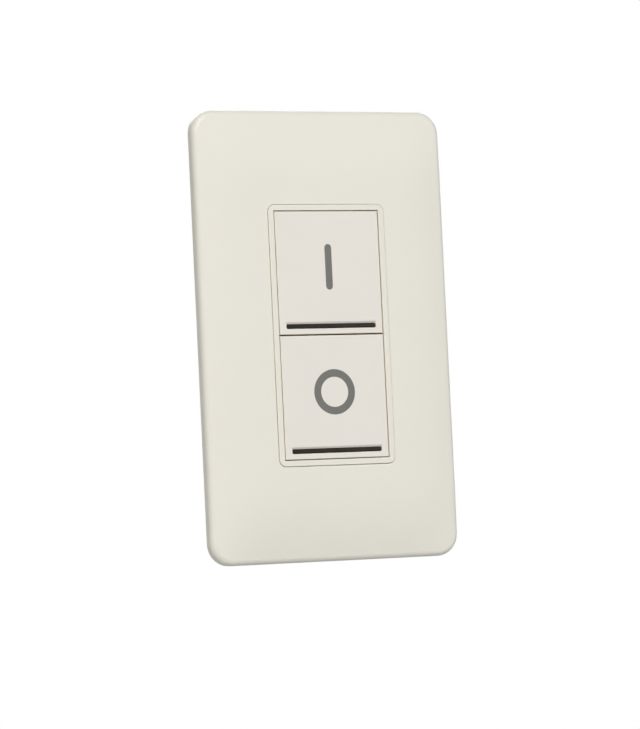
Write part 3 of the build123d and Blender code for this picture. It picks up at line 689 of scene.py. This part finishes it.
# floor, world, lamps and camera
def whiteToEye(tree):
    # white for what the camera sees, directly or in a gloss or through glass
    path = tree.nodes.new("ShaderNodeLightPath")
    seen = mathNode(tree, "MAXIMUM", path.outputs["Is Camera Ray"], path.outputs["Is Glossy Ray"])
    return mathNode(tree, "MAXIMUM", seen, path.outputs["Is Transmission Ray"])


floorSettings = {"drop": 0.10, "radius": 0.9, "corners": 96, "colour": (0.62, 0.62, 0.62),
                 "lift": 0.42, "fadeFrom": 0.35, "fadeTo": 0.85}


def floorPaper(settings):
    material = bpy.data.materials.new("floorPaper")
    material.use_nodes = True
    tree = material.node_tree
    tree.nodes.clear()
    seen = whiteToEye(tree)
    clear = tree.nodes.new("ShaderNodeBsdfTransparent").outputs[0]
    diffuse = addNode(tree, "ShaderNodeBsdfDiffuse", Color=rgb(settings["colour"]))
    glow = addNode(tree, "ShaderNodeEmission", Color=rgb(white))
    join(tree, mathNode(tree, "MULTIPLY", seen, settings["lift"]), glow.inputs["Strength"])
    paper = tree.nodes.new("ShaderNodeAddShader")
    join(tree, diffuse.outputs[0], paper.inputs[0])
    join(tree, glow.outputs[0], paper.inputs[1])

    # towards the rim it turns plain white to the eye and clear to everything else
    rimGlow = addNode(tree, "ShaderNodeEmission", Color=rgb(white), Strength=1.0)
    rim = mixShaders(tree, seen, clear, rimGlow.outputs[0])
    length = addNode(tree, "ShaderNodeVectorMath", operation="LENGTH")
    join(tree, objectCoords(tree), length.inputs[0])
    span = [settings["radius"] * settings[key] for key in ("fadeFrom", "fadeTo")]
    top = mixShaders(tree, remap(tree, length.outputs["Value"], span), paper.outputs[0], rim)

    # clear from underneath, so that low views see the object
    geometry = tree.nodes.new("ShaderNodeNewGeometry")
    surface = mixShaders(tree, geometry.outputs["Backfacing"], top, clear)
    end = tree.nodes.new("ShaderNodeOutputMaterial")
    join(tree, surface, end.inputs["Surface"])
    return material


def addFloor(settings):
    low = cadBox[0][2]
    disc = bmesh.new()
    bmesh.ops.create_circle(disc, cap_ends=True, segments=settings["corners"],
                            radius=settings["radius"])
    mesh = toMesh("floor", disc)
    mesh.materials.append(floorPaper(settings))
    floor = bpy.data.objects.new("floor", mesh)
    floor.location = (0.0, 0.0, low - settings["drop"])
    bpy.context.scene.collection.objects.link(floor)


worldSettings = {"ambient": (0.035, 0.035, 0.035)}


def setWorld(settings):
    world = bpy.data.worlds.new("plainStudio")
    bpy.context.scene.world = world
    world.use_nodes = True
    tree = world.node_tree
    tree.nodes.clear()
    colour = mixColours(tree, whiteToEye(tree), rgb(settings["ambient"]), rgb(white))
    background = tree.nodes.new("ShaderNodeBackground")
    join(tree, colour, background.inputs["Color"])
    end = tree.nodes.new("ShaderNodeOutputWorld")
    join(tree, background.outputs[0], end.inputs["Surface"])


lampSettings = {
    "overheadSoftbox": {"azimuth": -15.0, "elevation": 33.0, "distance": 1.6, "size": 0.9,
                        "power": 17.05, "tint": white},
    "leftPanel": {"azimuth": -60.0, "elevation": 10.0, "distance": 1.6, "size": 0.8,
                  "power": 7.1, "tint": (1.0, 0.975, 0.92)},
    "rightPanel": {"azimuth": 45.0, "elevation": 10.0, "distance": 1.6, "size": 0.8,
                   "power": 6.1, "tint": white},
    "backPanel": {"azimuth": 170.0, "elevation": 30.0, "distance": 1.6, "size": 0.9,
                  "power": 10.0, "tint": white},
}


def aimFrom(azimuth, elevation, distance):
    # azimuth 0 is straight in front of the plate, and it grows to the right
    a, e = math.radians(azimuth), math.radians(elevation)
    back = Vector((math.sin(a) * math.cos(e), -math.cos(a) * math.cos(e), math.sin(e)))
    return back * distance, back


def addLamps(lamps):
    for name, settings in lamps.items():
        light = bpy.data.lights.new(name, "AREA")
        light.shape = "SQUARE"
        light.size = settings["size"]
        light.energy = settings["power"]
        light.color = settings["tint"]
        lamp = bpy.data.objects.new(name, light)
        place, back = aimFrom(settings["azimuth"], settings["elevation"], settings["distance"])
        lamp.location = place
        lamp.rotation_euler = back.to_track_quat("Z", "Y").to_euler()
        bpy.context.scene.collection.objects.link(lamp)


cameraSettings = {"azimuth": -26.43, "elevation": -2.78, "roll": -2.76, "distance": 0.941,
                  "across": -0.0006, "up": -0.00723, "lens": 182.95, "sensor": 36.0,
                  "near": 0.05, "far": 20.0}


def placeCamera(settings):
    place, back = aimFrom(settings["azimuth"], settings["elevation"], settings["distance"])
    a = math.radians(settings["azimuth"])
    right = Vector((math.cos(a), math.sin(a), 0.0))
    up = back.cross(right)
    turn = math.radians(settings["roll"])
    right, up = (right * math.cos(turn) + up * math.sin(turn),
                 up * math.cos(turn) - right * math.sin(turn))
    place = place + right * settings["across"] + up * settings["up"]
    lensData = bpy.data.cameras.new("photoView")
    lensData.sensor_fit = "VERTICAL"
    lensData.sensor_height = settings["sensor"]
    lensData.lens = settings["lens"]
    lensData.clip_start = settings["near"]
    lensData.clip_end = settings["far"]
    camera = bpy.data.objects.new("photoView", lensData)
    columns = Matrix((right, up, back)).transposed().to_4x4()
    camera.matrix_world = Matrix.Translation(place) @ columns
    bpy.context.scene.collection.objects.link(camera)
    bpy.context.scene.camera = camera


addFloor(floorSettings)
setWorld(worldSettings)
addLamps(lampSettings)
placeCamera(cameraSettings)
print("stage, light and camera set")
